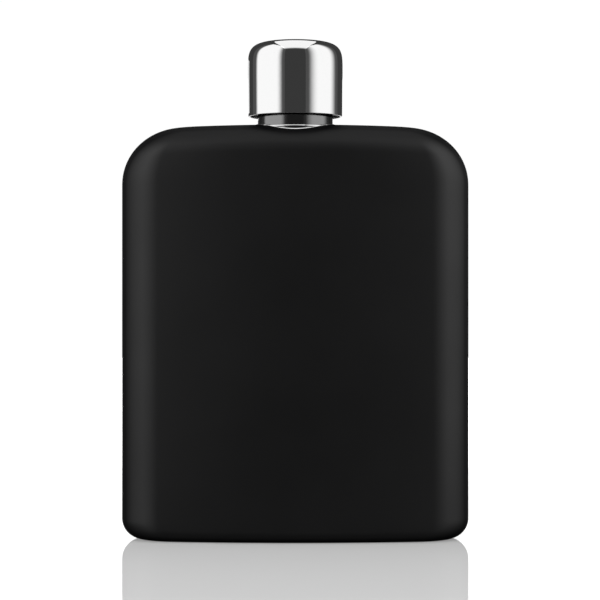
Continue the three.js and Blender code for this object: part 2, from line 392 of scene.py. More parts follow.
@dataclass(frozen=True)
class Steel:
    """Stainless steel, 18/8, with its tool or polishing marks running round the axis.

    Attributes:
        name: Name of the finish.
        colour: The steel's reflection, a neutral grey with a trace of warmth.
        roughness: How far the finish blurs a reflection.
        mark_mm: Spacing of the marks along the axis.
        mark_depth_mm: Depth of the marks.
        ripple_mm: Size of the faint unevenness that hand polishing leaves.
        ripple_depth_mm: Height of that unevenness.
        stretch: Scale of the marks across the axis, so that each runs a long way round.
    """

    name: str
    colour: str
    roughness: float
    mark_mm: float
    mark_depth_mm: float
    ripple_mm: float
    ripple_depth_mm: float
    stretch: float = 0.04

    def material(self) -> bpy.types.Material:
        """The node material."""
        material, tree = new_material(self.name)
        place = add_node(tree, "ShaderNodeTexCoord").outputs["Object"]
        scale = (self.stretch, self.stretch, 1.0)
        around = add_node(tree, "ShaderNodeMapping", {"Vector": place, "Scale": scale}).outputs[0]
        marks = add_node(
            tree,
            "ShaderNodeTexNoise",
            {"Vector": around, "Scale": per_mm(self.mark_mm), "Detail": 4.0, "Roughness": 0.65},
        ).outputs["Fac"]
        ripple = add_node(
            tree,
            "ShaderNodeTexNoise",
            {"Vector": place, "Scale": per_mm(self.ripple_mm), "Detail": 2.0, "Roughness": 0.45},
        ).outputs["Fac"]
        rough = add_node(
            tree,
            "ShaderNodeMapRange",
            {
                "Value": marks,
                "From Min": 0.25,
                "From Max": 0.75,
                "To Min": 0.8 * self.roughness,
                "To Max": 1.25 * self.roughness,
            },
        ).outputs[0]
        wave = add_node(
            tree,
            "ShaderNodeBump",
            {"Height": ripple, "Strength": 1.0, "Distance": self.ripple_depth_mm * MM},
        ).outputs[0]
        bump = add_node(
            tree,
            "ShaderNodeBump",
            {"Height": marks, "Strength": 1.0, "Distance": self.mark_depth_mm * MM, "Normal": wave},
        ).outputs[0]
        shader = add_node(
            tree,
            "ShaderNodeBsdfPrincipled",
            {"Base Color": linear(self.colour), "Metallic": 1.0, "Roughness": rough, "Normal": bump},
        ).outputs[0]
        add_node(tree, "ShaderNodeOutputMaterial", {"Surface": shader})
        return material


# Buffed to a mirror: it carries the softboxes' outlines, only slightly bent by the buffing.
POLISHED_STEEL = Steel(
    name="polished_stainless_steel",
    colour="#DDDDDD",
    roughness=0.045,
    mark_mm=0.30,
    mark_depth_mm=0.0002,
    ripple_mm=1.7,
    ripple_depth_mm=0.0040,
)

# Turned and then polished a little, so a duller mirror than the cap's. Its darker colour is painted shade,
# for the shade under the cap's overhang.
SHADE_DARKENED_STEEL = Steel(
    name="dark_polished_stainless_steel",
    colour="#7D7D7D",
    roughness=0.12,
    mark_mm=0.30,
    mark_depth_mm=0.0006,
    ripple_mm=1.5,
    ripple_depth_mm=0.0040,
)

# As it leaves the lathe: a satin grey whose marks are drawn coarser than real ones, so that they show.
MACHINED_STEEL = Steel(
    name="machined_stainless_steel",
    colour="#C6C5C3",
    roughness=0.30,
    mark_mm=0.35,
    mark_depth_mm=0.0040,
    ripple_mm=2.2,
    ripple_depth_mm=0.0010,
)


@dataclass(frozen=True)
class Polymer:
    """A moulded polymer: polypropylene or silicone, with the fine spark texture of its mould.

    Attributes:
        name: Name of the finish.
        colour: Its own colour.
        roughness: How dull the surface is.
        grain_mm: Size of the mould's texture.
        grain_depth_mm: Depth of the mould's texture.
        glow: Share of light that spreads under the surface.
        glow_mm: How far it spreads.
        unevenness: How far the roughness varies to either side.
    """

    name: str
    colour: str
    roughness: float
    grain_mm: float
    grain_depth_mm: float
    glow: float
    glow_mm: float = 1.2
    unevenness: float = 0.06

    def material(self) -> bpy.types.Material:
        """The node material."""
        material, tree = new_material(self.name)
        place = add_node(tree, "ShaderNodeTexCoord").outputs["Object"]
        grain = add_node(
            tree,
            "ShaderNodeTexNoise",
            {"Vector": place, "Scale": per_mm(self.grain_mm), "Detail": 3.0, "Roughness": 0.55},
        ).outputs["Fac"]
        rough = add_node(
            tree,
            "ShaderNodeMapRange",
            {
                "Value": grain,
                "To Min": self.roughness - self.unevenness,
                "To Max": self.roughness + self.unevenness,
            },
        ).outputs[0]
        bump = add_node(
            tree,
            "ShaderNodeBump",
            {"Height": grain, "Strength": 1.0, "Distance": self.grain_depth_mm * MM},
        ).outputs[0]
        shader = add_node(
            tree,
            "ShaderNodeBsdfPrincipled",
            {
                "Base Color": linear(self.colour),
                "Roughness": rough,
                "Subsurface Weight": self.glow,
                "Subsurface Scale": self.glow_mm * MM,
                "Normal": bump,
            },
        ).outputs[0]
        add_node(tree, "ShaderNodeOutputMaterial", {"Surface": shader})
        return material


# Satin from the mould: a soft sheen on a very dark grey.
POLYPROPYLENE = Polymer(
    name="black_moulded_polypropylene",
    colour="#38393B",
    roughness=0.42,
    grain_mm=0.25,
    grain_depth_mm=0.004,
    glow=0.0,
)

# Dull and slightly see-through: light spreads in it, so its edges look soft.
SILICONE = Polymer(
    name="white_silicone",
    colour="#DCDCD6",
    roughness=0.55,
    grain_mm=0.40,
    grain_depth_mm=0.003,
    glow=0.35,
)


def dress(piece: bpy.types.Object, finish: bpy.types.Material, node: str, body: Body) -> None:
    """Gives a piece its finish and its body, hides the CAD node that it stands for, and reports it.

    Args:
        piece: The piece.
        finish: Its material.
        node: The CAD node that it stands for.
        body: The body that it rides on.
    """
    piece.data.materials.append(finish)
    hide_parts(node)
    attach(piece, body.value)
    LOG.info("%s: %d faces, rides on %s", piece.name, len(piece.data.polygons), body.value)


# ---- the body ----


@dataclass
class BodyForm:
    """The body's shape: a two-arc plan section that shrinks as it rolls over top and bottom.

    Sizes are in metres. The width, thickness and height come from the frame.
    """

    half_width: float
    half_depth: float
    height: float
    face_radius: float = 225 * MM  # the gentle bulge of the front and the back
    shoulder_radius: float = 16.5 * MM  # the top corners, seen from the front
    shoulder_squareness: float = 2.1  # their exponent, 2 for a circle
    shoulder_edge: float = 11.5 * MM  # how far in the faces roll over to the top
    shoulder_drop: float = 8.0 * MM  # how far down that roll starts
    heel_radius: float = 5.5 * MM  # the bottom corners, seen from the front
    heel_edge: float = 3.0 * MM  # the roll from the faces under to the base
    crown: float = 0.55 * MM  # how far the top falls from its middle to its corners
    wall: float = 0.7 * MM

    def outline(self, share: np.ndarray) -> tuple[np.ndarray, np.ndarray]:
        """The front half of the plan section, from the right side round to the left side.

        A side arc of radius s, a face arc of radius f that is tangent to it, and the other
        side arc. s makes the face arc pass through the half depth at the middle.

        Args:
            share: Shares of the half outline's length, from 0 to 1.

        Returns:
            X and Y of the points.
        """
        far = self.face_radius
        side = (far**2 - self.half_width**2 - (far - self.half_depth) ** 2) / (2 * (far - self.half_width))
        centre = self.half_width - side
        tilt = math.asin(centre / (far - side))
        side_length = side * (math.pi / 2 - tilt)
        face_length = 2 * far * tilt
        along = np.asarray(share) * (2 * side_length + face_length)
        first = along / side
        middle = tilt - (along - side_length) / far
        last = (2 * side_length + face_length - along) / side
        zones = [along < side_length, along <= side_length + face_length]
        x = np.select(
            zones,
            [centre + side * np.cos(first), far * np.sin(middle)],
            -centre - side * np.cos(last),
        )
        y = np.select(
            zones,
            [-side * np.sin(first), far - self.half_depth - far * np.cos(middle)],
            -side * np.sin(last),
        )
        return x, y

    def inset(self, by: float) -> "BodyForm":
        """The same form with its top and its shoulder rolls moved in by an inset."""
        return replace(
            self,
            height=self.height - by,
            shoulder_radius=self.shoulder_radius - by,
            shoulder_edge=self.shoulder_edge - by,
            shoulder_drop=self.shoulder_drop - by,
        )

    @staticmethod
    def rolled(reach: float, drop: float, depth: np.ndarray) -> np.ndarray:
        """How far a rolled edge has come in at a depth from its end, as a quarter of an ellipse.

        With t = 1 - depth / drop, the edge comes in by reach * (1 - sqrt(1 - t^2)).

        Args:
            reach: How far in the roll reaches at its end.
            drop: How far from its end the roll reaches.
            depth: Distances from its end.

        Returns:
            How far the edge has come in.
        """
        left = np.clip(1 - depth / drop, 0, 1)
        return reach * (1 - np.sqrt(1 - left**2))

    def top(self, share: np.ndarray, path: np.ndarray, by: float = 0.0) -> np.ndarray:
        """Points on the top and the shoulders.

        Along path, 0 to 1 runs from the neck's axis across the flat of the top, and 1 to 2
        down the roll of the shoulder to where the sides are upright. The half width follows
        a quarter of a superellipse, r cos(a)^(2/n) out and r sin(a)^(2/n) up, the half depth
        a quarter of an ellipse, and the top falls by the crown.

        Args:
            share: Shares of the half outline.
            path: Places along the path.
            by: Inset of the surface.

        Returns:
            X, Y, Z points.
        """
        form = self.inset(by)
        x, y = self.outline(share)
        angle = (2 - np.maximum(path, 1)) * math.pi / 2
        power = 2 / self.shoulder_squareness
        depth = form.shoulder_radius * (1 - np.clip(np.sin(angle), 0, 1) ** power)
        flat = self.half_width - by - form.shoulder_radius
        width = flat + form.shoulder_radius * np.clip(np.cos(angle), 0, 1) ** power
        thickness = self.half_depth - by - self.rolled(form.shoulder_edge, form.shoulder_drop, depth)
        spread = np.minimum(path, 1)
        across = x / self.half_width * width * spread
        through = y / self.half_depth * thickness * spread
        fall = self.crown * (across / flat) ** 2 * (1 - depth / form.shoulder_radius)
        return np.stack([across, through, form.height - depth - fall], -1)

    def path_at(self, share: np.ndarray, radius: float, by: float = 0.0) -> np.ndarray:
        """Where the top's paths cross a circle round the neck's axis, found by halving.

        Args:
            share: Shares of the half outline.
            radius: The circle's radius.
            by: Inset of the surface.

        Returns:
            The place along each path.
        """
        low = np.zeros_like(share)
        high = np.full_like(share, 2.0)
        for _ in range(HALVINGS):
            middle = (low + high) / 2
            point = self.top(share, middle, by)
            inside = np.hypot(point[..., 0], point[..., 1]) < radius
            low = np.where(inside, middle, low)
            high = np.where(inside, high, middle)
        return (low + high) / 2

    def pan(self, share: np.ndarray, path: np.ndarray, by: float, floor: float) -> np.ndarray:
        """Points on the heel: 0 is where the side is upright, 1 is the edge of the flat underside.

        Args:
            share: Shares of the half outline.
            path: Places along the heel's roll.
            by: Inset of the surface.
            floor: Height of the flat.

        Returns:
            X, Y, Z points.
        """
        x, y = self.outline(share)
        angle = (1 - path) * math.pi / 2
        heel = self.heel_radius - by
        rise = heel * (1 - np.cos(angle))
        width = self.half_width - by - heel * (1 - np.sin(angle))
        edge = self.heel_edge - by
        thickness = self.half_depth - by - self.rolled(edge, edge, rise)
        across = x / self.half_width * width
        through = y / self.half_depth * thickness
        return np.stack([across, through, floor + rise + 0 * x], -1)


@dataclass
class FlaskBody:
    """The two pressed shells and the base pan, welded, ground flush and coated. Sizes in metres."""

    form: BodyForm
    seam_height: float
    neck_hole: float
    seam_gap: float = 0.0005 * MM  # what stays open at a weld, too little for light to pass
    base_floor: float = 0.9 * MM
    recess_inset: float = 4.0 * MM  # width of the flat rim that the flask stands on
    recess_depth: float = 0.6 * MM
    # (share of that width in from the edge, share of the depth) down the recess's edge
    recess_edge: tuple[tuple[float, float], ...] = (
        (0.86, 0.0), (0.97, 0.06), (1.0, 0.5), (1.03, 0.94), (1.14, 1.0), (1.6, 1.0),
    )
    around: int = 176  # points round the half outline, over the top and down the side
    over: int = 64
    down: int = 22
    finish: PowderCoat = field(default_factory=PowderCoat)

    def wall(self, by: float) -> np.ndarray:
        """One skin of the front shell as a grid, from the neck hole out over the top and down.

        Args:
            by: Inset of the skin.

        Returns:
            Rows of points, one row for each place on the outline.
        """
        share = np.linspace(0, 1, self.around)
        start = self.form.path_at(share, self.neck_hole, by)
        step = np.linspace(0, 1, self.over)[None, :]
        path = start[:, None] + (2 - start[:, None]) * step
        top = self.form.top(share[:, None], path, by)
        ease = np.linspace(0, 1, self.down + 1)[1:][None, :, None]
        foot = top[:, -1:] * [1, 1, 0] + [0, 0, self.seam_height]
        side = top[:, -1:] * (1 - ease) + foot * ease
        skin = np.concatenate([top, side], axis=1)
        skin[..., 1] = np.minimum(skin[..., 1], -self.seam_gap)
        return skin

    def shell(self, name: str, back: bool) -> bpy.types.Object:
        """One pressed half: its outer and inner skins joined along all four borders.

        Args:
            name: Name of the piece.
            back: Whether it is the back half, which mirrors the front.

        Returns:
            The piece.
        """
        outer = self.wall(0)
        inner = self.wall(self.form.wall)
        loop = np.concatenate([outer, inner[:, ::-1]], axis=1)
        if back:
            loop = loop * [1, -1, 1]
        rows, columns = loop.shape[:2]
        faces = grid_faces(rows, columns, False, True)
        near = np.arange(columns // 2 - 1)
        end = np.stack([near, near + 1, columns - 2 - near, columns - 1 - near], -1)
        faces = np.concatenate([faces, end, end[:, ::-1] + (rows - 1) * columns])
        return make_piece(name, loop, faces)

    def base(self) -> bpy.types.Object:
        """The base pan: upright rim, rolled heel, a flat rim to stand on and a recess inside it.

        The profile is carried round the whole outline: each point of it is the outline
        scaled to a half width and a half depth at a height. It ends in the middle of the
        recess, comes back along the inside and closes at the rim.

        Returns:
            The piece.
        """
        form = self.form
        share = np.linspace(0, 1, self.around)[:, None]
        roll = np.linspace(0, 1, 18)[None, :]
        inward = np.linspace(0.9, 0, 10)[None, :, None]
        outward = np.linspace(0, 1, 8)[None, :, None]
        outside = form.pan(share, roll, 0, 0.0)
        inside = form.pan(share, roll, form.wall, self.base_floor)
        lift = np.array([0, 0, self.seam_height - self.seam_gap])
        rim_out = outside[:, :1] * [1, 1, 0] + lift
        rim_in = inside[:, :1] * [1, 1, 0] + lift
        edge = outside[:, -1:]
        rise = np.array([self.recess_depth * depth for _, depth in self.recess_edge])
        level = self.scaled_in(edge, [self.recess_inset * inset for inset, _ in self.recess_edge])
        under = level + np.stack([0 * rise, 0 * rise, rise], -1)[None]
        middle = under[:, -1:] * inward * [1, 1, 0] + [0, 0, self.recess_depth]
        above = inside[:, -1:] * outward * [1, 1, 0] + [0, 0, self.recess_depth + self.base_floor]
        loop = np.concatenate([rim_out, outside, under, middle, above, inside[:, ::-1], rim_in], axis=1)
        other = loop[1:-1][::-1] * [1, -1, 1]
        ring = np.concatenate([loop, other])
        return make_piece("base_pan_coated", ring, grid_faces(ring.shape[0], ring.shape[1], True, True))

    @staticmethod
    def scaled_in(edge: np.ndarray, insets: Sequence[float]) -> np.ndarray:
        """Copies of a border moved in towards the middle by insets, along X and Y alike."""
        half = np.abs(edge[..., :2]).reshape(-1, 2).max(0)
        shrink = np.array([[(half[0] - i) / half[0], (half[1] - i) / half[1], 1.0] for i in insets])
        return edge * shrink[None]

    def build(self) -> None:
        """Makes and dresses the three pieces."""
        coat = self.finish.material()
        dress(self.shell("front_shell_coated", False), coat, "front_shell", Body.FLASK)
        dress(self.shell("back_shell_coated", True), coat, "back_shell", Body.FLASK)
        dress(self.base(), coat, "base_pan", Body.FLASK)


# ---- the neck ----


@dataclass
class Thread:
    """A right-hand thread with a rounded trapezium section. Sizes in metres."""

    start: float
    pitch: float = THREAD_PITCH * MM
    turns: float = 2.25
    height: float = 0.9 * MM
    root_width: float = 1.5 * MM
    crest_width: float = 0.9 * MM
    run_out: float = 0.12  # share of a turn over which each end fades
    around: int = 224  # steps round the axis of a threaded piece

    def ridge(self, angle: np.ndarray, height: np.ndarray) -> np.ndarray:
        """How far the ridge stands off its wall.

        The distance along the axis to the nearest turn of the helix, start + pitch times
        turns, sets the height by a smooth ramp between the crest's and the root's half
        widths. Both ends fade out.

        Args:
            angle: Angles round the axis, from 0 to a full turn.
            height: Heights along the axis.

        Returns:
            The stand-off in metres.
        """
        share = angle / (2 * math.pi)
        turn = np.round((height - self.start) / self.pitch - share) + share
        last = np.floor(self.turns - share) + share
        turn = np.clip(turn, share, last)
        away = np.abs(height - self.start - turn * self.pitch)
        ramp = (self.root_width / 2 - away) / ((self.root_width - self.crest_width) / 2)
        ramp = np.clip(ramp, 0, 1)
        ramp = ramp * ramp * (3 - 2 * ramp)
        fade = np.clip(np.minimum(turn, self.turns - turn) / self.run_out, 0, 1)
        return self.height * ramp * fade * (2 - fade)

    def stand_off(self, profile: np.ndarray, span: slice) -> np.ndarray:
        """The ridge's height over the threaded stretch of a profile, and zero over the rest.

        Args:
            profile: (radius, height) points in metres.
            span: The points of the threaded stretch.

        Returns:
            One row of heights for each angle round the axis.
        """
        angle = round_axis(self.around)
        ridge = np.zeros((self.around, len(profile)))
        ridge[:, span] = self.ridge(angle, profile[None, span, 1])
        return ridge


@dataclass
class Neck:
    """The cup let into the top, the threaded spout and the collar.

    Sizes are in millimetres, apart from the cup's radius, which is in metres. Heights are
    measured from the body's top. The foot is the spout's, the rim the cup's, and the ring is
    the narrow one that the collar stands on.
    """

    form: BodyForm
    cup_radius: float
    cup_wall: float = 0.4
    cup_floor_top: float = -3.3
    cup_floor: float = 0.8
    bore_radius: float = 6.75
    tube_radius: float = 8.2
    foot_radius: float = 9.8
    foot_bottom: float = -5.7
    foot_top: float = -4.4
    foot_fillet: float = 0.3
    lip_fillet: float = 0.55
    threaded_below: float = 2.0  # reach of the finely stepped wall below and above the first crest
    threaded_above: float = 9.5
    collar_radius: float = 10.3
    sleeve_radius: float = 9.4
    collar_top: float = 3.6
    ring_flare: float = 0.13
    ring_low: float = -0.78
    ring_high: float = -0.45
    rim_depth: float = 0.5
    rim_section: tuple[tuple[float, float], ...] = ((0.36, 0.09), (0.28, 0.15), (0.15, 0.17), (0.06, 0.0))
    fit: float = 0.06

    def cup_ring(
        self, name: str, rim: Sequence[tuple[float, float]], lower: Sequence[tuple[float, float]] = ()
    ) -> bpy.types.Object:
        """A ring whose upper points follow the body's curved top at every angle.

        Each upper point lies on the body's top at its radius, then moves by its lift.

        Args:
            name: Name of the piece.
            rim: (distance in from the cup's outside, lift above the body's top) points.
            lower: (radius, height) points below them, which are level all round.

        Returns:
            The piece.
        """
        share = np.linspace(0, 1, 120)
        upper = []
        for inset, lift in rim:
            path = self.form.path_at(share, self.cup_radius - inset * MM)
            upper.append(self.form.top(share, path) + [0, 0, lift * MM])
        loop = np.stack(upper, 1)
        if lower:
            angle = np.arctan2(loop[:, :1, 1], loop[:, :1, 0])
            radius, height = np.array(lower).T * MM
            level = np.stack([radius * np.cos(angle), radius * np.sin(angle), height + 0 * angle], -1)
            loop = np.concatenate([loop, level], axis=1)
        other = loop[1:-1][::-1] * [1, -1, 1]
        whole = np.concatenate([loop, other])
        faces = grid_faces(whole.shape[0], whole.shape[1], True, True)
        return make_piece(name, whole, faces, sharp_degrees=30.0)

    def cup_rim(self) -> bpy.types.Object:
        """The cup's bare rim: ground, slightly proud of the coat, with a small outer chamfer."""
        wall = self.cup_wall
        inside = [(wall, -self.rim_depth), (wall, 0.0)]
        outside = [(0.0, -0.03), (0.0, -self.rim_depth)]
        return self.cup_ring("neck_cup_rim", [*inside, *self.rim_section, *outside])

    def cup_well(self) -> bpy.types.Object:
        """The rest of the cup, under its rim, coated with the body."""
        floor = self.form.height / MM + self.cup_floor_top
        wall = self.cup_wall
        top = -self.rim_depth - self.fit
        outside = self.cup_radius / MM
        bore = self.tube_radius + self.fit
        low = floor - self.cup_floor
        lower = [(outside - wall, floor), (bore, floor), (bore, low), (outside, low)]
        return self.cup_ring("neck_cup_well", [(0.0, top), (wall, top)], lower)

    def spout(self) -> bpy.types.Object:
        """The spout: a foot, a threaded tube, a rounded lip and a bore, as one closed grid.

        Returns:
            The piece.
        """
        top = self.form.height / MM
        foot = [
            (self.bore_radius, top + self.foot_bottom, self.foot_fillet),
            (self.foot_radius, top + self.foot_bottom, self.foot_fillet),
            (self.foot_radius, top + self.foot_top, self.foot_fillet),
            (self.tube_radius, top + self.foot_top, self.foot_fillet),
        ]
        lip = [
            (self.tube_radius, top + MOUTH, self.lip_fillet),
            (self.bore_radius, top + MOUTH, self.lip_fillet),
        ]
        profile = filleted([*foot, *lip])
        up = np.linspace(THREAD_START - self.threaded_below, THREAD_START + self.threaded_above, 150)
        wall = np.stack([np.full_like(up, self.tube_radius), top + up], -1) * MM
        split = len(foot) * (FILLET_STEPS + 1)
        profile = np.concatenate([profile[:split], wall, profile[split:]])
        thread = Thread(self.form.height + THREAD_START * MM)
        ridge = thread.stand_off(profile, slice(split, split + len(up)))
        return turned_piece("neck_spout_threaded", profile, thread.around, stand_off=ridge)

    def collar(self) -> bpy.types.Object:
        """The collar: a stepped ring with crisp, lightly broken edges.

        Returns:
            The piece.
        """
        top = self.form.height / MM
        inner = self.tube_radius + self.fit
        corners = [
            (inner, top + self.cup_floor_top + self.fit, 0.1),
            (self.sleeve_radius, top + self.cup_floor_top + self.fit, 0.1),
            (self.sleeve_radius, top + self.ring_high, 0.05),
            (self.collar_radius, top + self.ring_high, 0.02),
            (self.collar_radius, top + self.collar_top, 0.25),
            (inner, top + self.collar_top, 0.15),
        ]
        return turned_piece("neck_collar_turned", filleted(corners))

    def collar_foot(self) -> bpy.types.Object:
        """The collar's foot: a narrow, brighter ring that flares a little towards its lower edge.

        Returns:
            The piece.
        """
        top = self.form.height / MM
        low = top + self.ring_low
        high = top + self.ring_high - 0.01
        inner = self.sleeve_radius + 0.02
        corners = [
            (inner, low, 0.02),
            (self.collar_radius + self.ring_flare, low, 0.02),
            (self.collar_radius + 0.01, high, 0.01),
            (inner, high, 0.02),
        ]
        return turned_piece("neck_collar_foot", filleted(corners))

    def build(self) -> None:
        """Makes and dresses the pieces."""
        polished = POLISHED_STEEL.material()
        shaded_steel = SHADE_DARKENED_STEEL.material()
        machined = MACHINED_STEEL.material()
        coat = bpy.data.materials[PowderCoat.name]
        dress(self.cup_rim(), polished, "neck_cup", Body.FLASK)
        dress(self.cup_well(), coat, "neck_cup", Body.FLASK)
        dress(self.spout(), machined, "neck_spout", Body.FLASK)
        # The collar's steel carries painted shade: it is darkened for the shade under the cap.
        dress(self.collar(), shaded_steel, "neck_collar", Body.FLASK)
        dress(self.collar_foot(), polished, "neck_collar", Body.FLASK)


# ---- the cap ----


@dataclass
class Cap:
    """The domed shell, the moulded insert and the sealing disc.

    Sizes are in millimetres. The insert's heights are measured from the cap's rim. The mark
    is the shallow ring that the spout's mouth presses into the seal.
    """

    rim_height: float
    top_height: float
    radius: float
    body_top: float
    rim_radius: float = 12.92
    dome_height: float = 9.0
    dome_exponent: float = 4.8
    wall: float = 0.6
    edge_break: float = 0.12
    bore_radius: float = 9.4
    insert_bottom: float = 0.6
    lead_in: float = 0.5  # chamfer at the mouth of the insert's bore
    corner: float = 0.4  # rounding at the insert's roof and at its lower outer corner
    roof: float = 16.4
    seal_radius: float = 9.0
    seal_thickness: float = 1.5
    seal_lift: float = 0.3
    seal_edge: float = 0.35
    mark_radius: float = 7.4
    mark_reach: float = 0.9
    mark_depth: float = 0.1
    fit: float = 0.04

    def side(self, inset: float, steps: int = 72) -> np.ndarray:
        """The cap's section from the top of its straight side to the axis.

        The dome is a superellipse, (r / R)^n + (h / H)^n = 1, stepped by angle so that its
        points gather where it turns.

        Args:
            inset: How far the surface lies inside the outer one.
            steps: Steps up the dome.

        Returns:
            (radius, height) points in millimetres.
        """
        angle = np.linspace(0, math.pi / 2, steps + 1)
        power = 2 / self.dome_exponent
        radius = (self.radius - inset) * np.clip(np.cos(angle), 0, 1) ** power
        radius[-1] = 0
        spring = self.top_height - self.dome_height
        height = spring + (self.dome_height - inset) * np.sin(angle) ** power
        return np.stack([radius, height], -1)

    def shell(self) -> bpy.types.Object:
        """The drawn shell, trimmed square at its rim with its edges broken.

        Returns:
            The piece.
        """
        outside = self.side(0)
        inside = self.side(self.wall)
        turn = np.linspace(0, math.pi / 2, 7)
        broken = self.edge_break
        inner_corner = np.stack([-np.cos(turn), -np.sin(turn)], -1) * broken
        inner_corner += [self.rim_radius - self.wall + broken, self.rim_height + broken]
        outer_corner = np.stack([np.sin(turn), -np.cos(turn)], -1) * broken
        outer_corner += [self.rim_radius - broken, self.rim_height + broken]
        rim = np.concatenate([inner_corner, outer_corner])
        rise = np.linspace(0, 1, 14)[1:-1, None]
        outer_wall = rim[-1] * (1 - rise) + outside[0] * rise
        inner_wall = inside[0] * (1 - rise) + rim[0] * rise
        profile = np.concatenate([inside[::-1], inner_wall, rim, outer_wall, outside]) * MM
        return turned_piece("cap_shell_polished", profile, 256, closed=False)

    def insert(self) -> bpy.types.Object:
        """The insert: a thick cup that fills the shell, with the thread inside its bore.

        Returns:
            The piece.
        """
        outside = self.side(self.wall + self.fit)
        low = self.rim_height + self.insert_bottom
        high = self.rim_height + self.roof
        outer = self.rim_radius - self.wall - self.fit
        bore = self.bore_radius
        lead_in, corner = self.lead_in, self.corner
        up = np.linspace(low + 1.4 * lead_in, high - corner, 160)[::-1]
        wall = np.stack([np.full_like(up, bore), up], -1)
        start = np.array([[0, high], [bore - corner, high], [bore - corner / 4, high - corner / 4]])
        mouth = np.array([
            [bore + 0.3 * lead_in, low + 0.7 * lead_in],
            [bore + lead_in, low],
            [outer - corner, low],
            [outer - corner / 4, low + corner / 4],
            [outer, low + corner],
        ])
        profile = np.concatenate([start, wall, mouth, outside]) * MM
        thread = Thread((self.body_top + THREAD_START - THREAD_PITCH / 2) * MM)
        ridge = thread.stand_off(profile, slice(len(start), len(start) + len(up)))
        return turned_piece("cap_insert_moulded", profile, thread.around, closed=False, stand_off=-ridge)

    def seal(self) -> bpy.types.Object:
        """The sealing disc, with the shallow ring that the mouth presses into it.

        Returns:
            The piece.
        """
        low = self.body_top + MOUTH + self.seal_lift
        edge = self.seal_edge
        thick = self.seal_thickness
        press = np.linspace(0, 2 * math.pi, 25)
        mark_radius = self.mark_radius + self.mark_reach * (press / math.pi - 1)
        mark = np.stack([mark_radius, low + self.mark_depth * (1 - np.cos(press)) / 2], -1)
        turn = np.linspace(-math.pi / 2, math.pi / 2, 13)
        edge_radius = self.seal_radius - edge + edge * np.cos(turn)
        rounded = np.stack([edge_radius, low + thick / 2 + (thick / 2) * np.sin(turn)], -1)
        profile = np.concatenate([[[0, low]], mark, rounded, [[0, low + thick]]]) * MM
        return turned_piece("cap_seal_disc", profile, 128, closed=False)

    def build(self) -> None:
        """Makes and dresses the three pieces."""
        dress(self.shell(), POLISHED_STEEL.material(), "cap_shell", Body.CAP)
        dress(self.insert(), POLYPROPYLENE.material(), "cap_insert", Body.CAP)
        dress(self.seal(), SILICONE.material(), "cap_seal", Body.SEAL)


# ---- the studio ----


